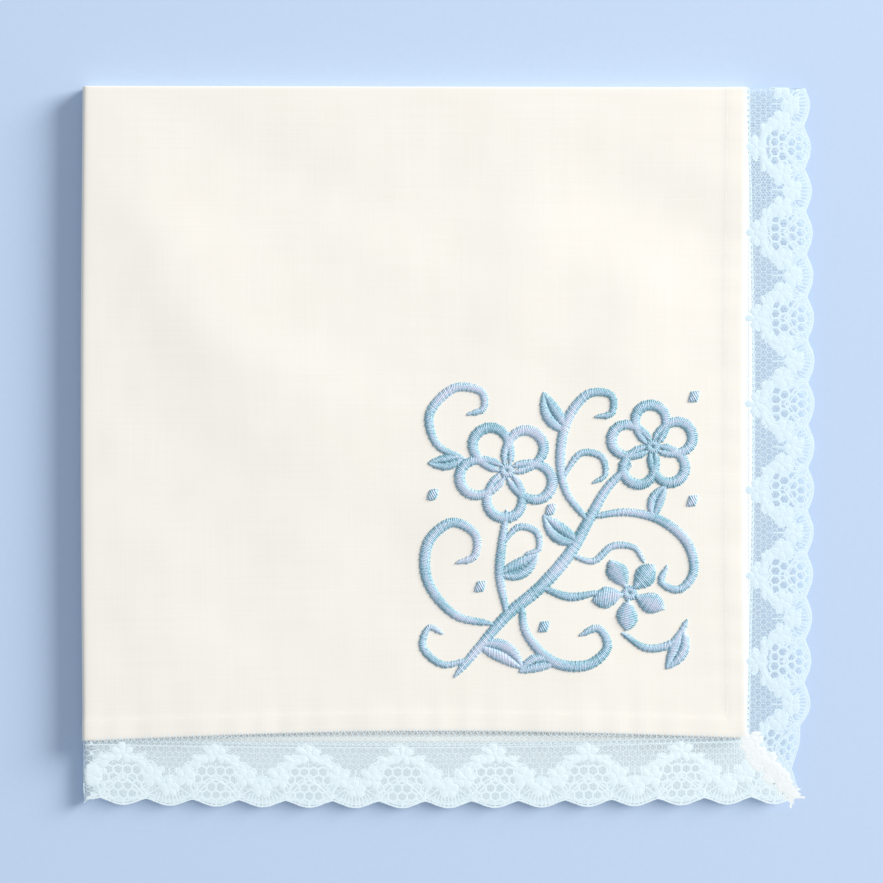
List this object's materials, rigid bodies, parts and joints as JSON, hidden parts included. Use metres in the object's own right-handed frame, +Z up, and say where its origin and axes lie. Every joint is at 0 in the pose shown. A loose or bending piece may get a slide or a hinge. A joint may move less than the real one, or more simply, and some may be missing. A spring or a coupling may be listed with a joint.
{
  "type": "folded lace-edged handkerchief",
  "caption": "Square linen handkerchief with a mitred lace edging, folded in quarters into a flat four-layer stack with its folds on two sides and its lace on the other two.",
  "frame": {"origin": "middle of the folded stack's footprint, on the surface it lies on", "axes": "+Z up out of the top layer; +X from the second fold (left side) towards the side hems and their lace; -Y from the first fold (far side) towards the near hems and their lace"},
  "size_m": [0.1532, 0.1506, 0.0059],
  "materials": {
    "linen": "fine plain-weave ivory linen, matt, with an embroidered corner in light blue satin stitch",
    "lace": "sheer white net lace with small flowers and a scalloped cord edge"
  },
  "bodies": {
    "root": {"linen_square": "linen", "lace_near": "lace", "lace_right": "lace", "lace_far": "lace", "lace_left": "lace"}
  },
  "joints": []
}
